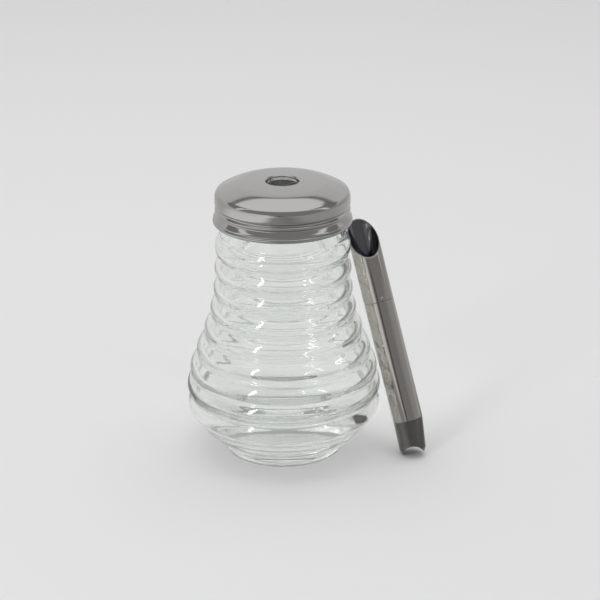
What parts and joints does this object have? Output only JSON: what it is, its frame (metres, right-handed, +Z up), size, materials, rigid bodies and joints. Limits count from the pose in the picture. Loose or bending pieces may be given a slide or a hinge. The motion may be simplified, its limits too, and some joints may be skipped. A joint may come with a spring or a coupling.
{
  "type": "sugar dispenser with flap",
  "caption": "Ribbed glass sugar jar with a domed steel screw lid, and a loose slant-cut pouring tube with a gravity flap inside, leaning beside the jar.",
  "frame": {"origin": "centre of the jar's foot, on the surface it stands on", "axes": "+Z up along the jar's axis; +X to the side where the tube stands; -Y is the front as seen in the picture"},
  "size_m": [0.1122, 0.0908, 0.1317],
  "materials": {
    "clear_glass": "gloss",
    "stainless_steel": "satin",
    "bright_steel": "gloss",
    "soft_seal": "matte"
  },
  "bodies": {
    "jar": {"jar_glass": "clear_glass"},
    "seal": {"lid_liner": "soft_seal"},
    "lid": {"lid_shell": "stainless_steel"},
    "tube": {"spout_tube": "stainless_steel", "dosing_tube": "stainless_steel", "tube_foot": "stainless_steel", "seat_sleeve": "stainless_steel", "flap_pin": "bright_steel", "seat_rivet": "bright_steel"},
    "flap": {"flap": "stainless_steel"}
  },
  "joints": [
    {"name": "lid_rise", "type": "slide", "parent": "jar", "child": "seal", "axis": [0, 0, 1], "range_m": [0, 0.0053]},
    {"name": "lid_turn", "type": "hinge", "parent": "seal", "child": "lid", "pos_m": [0, 0, 0.12], "axis": [0, 0, 1], "range_deg": [0, 450]},
    {"name": "tube_lift", "type": "slide", "parent": "jar", "child": "tube", "axis": [0, 0, 1], "range_m": [0, 0.14]},
    {"name": "flap_swing", "type": "hinge", "parent": "tube", "child": "flap", "pos_m": [0.0443, -0.00045, 0.07338], "axis": [0.9714, 0.0531, 0.2316], "range_deg": [0, 50]}
  ],
  "couplings": [
    {"joint": "lid_turn", "follows": "lid_rise", "rad_per_m": 1481.9}
  ]
}
